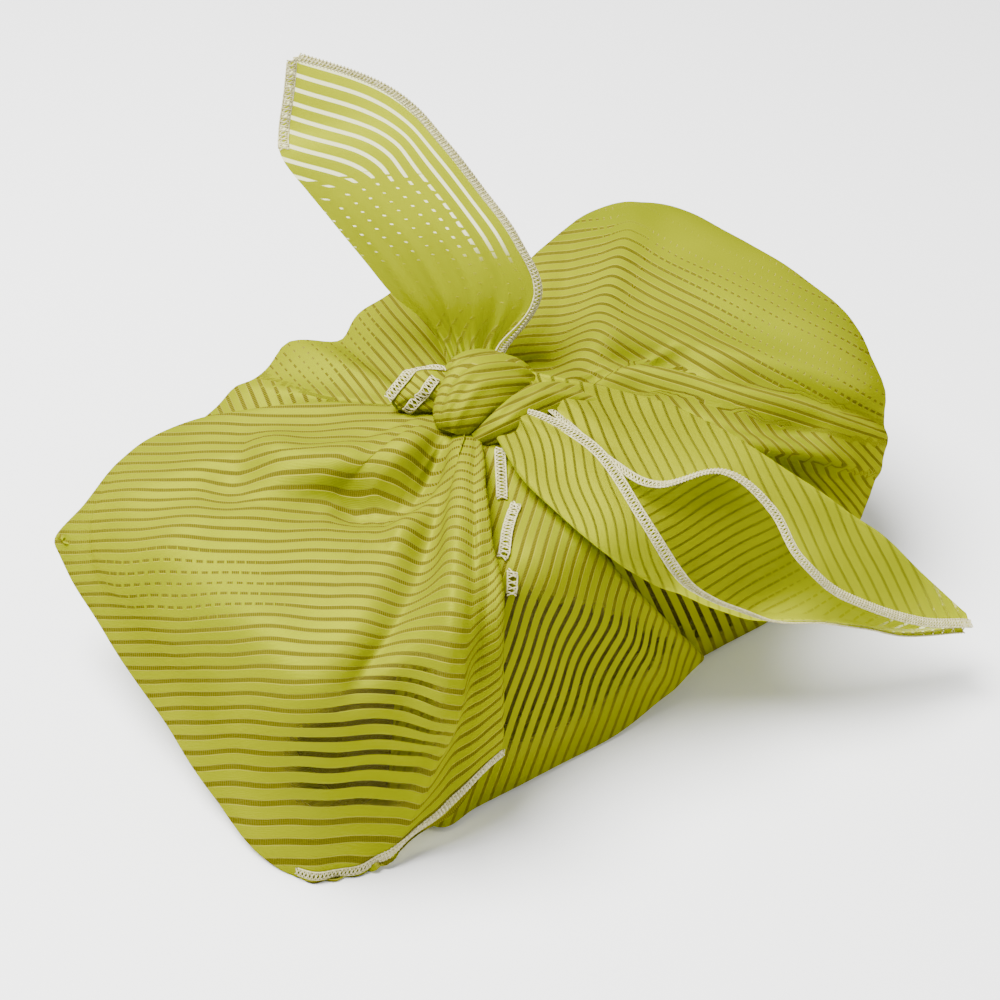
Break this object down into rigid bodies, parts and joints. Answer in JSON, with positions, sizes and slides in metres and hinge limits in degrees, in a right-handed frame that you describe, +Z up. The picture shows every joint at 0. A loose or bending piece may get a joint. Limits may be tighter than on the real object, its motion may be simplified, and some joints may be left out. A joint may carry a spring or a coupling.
{
  "type": "fabric gift wrap tied round a box",
  "caption": "Square of sheer striped cloth folded round an oblong box and tied on top, with its corners left as ears.",
  "frame": {"origin": "centre of the bounding box on the surface that the wrapped box rests on", "axes": "+X along the box towards the end with the folded ear, +Y towards the back where the standing ear leans, +Z up"},
  "size_m": [0.2624, 0.1964, 0.1884],
  "materials": {
    "striped_cloth": "sheer satin-striped chiffon",
    "plain_board": "matt board"
  },
  "bodies": {
    "root": {"wrap_cloth": "striped_cloth", "gift_box": "plain_board"}
  },
  "joints": []
}
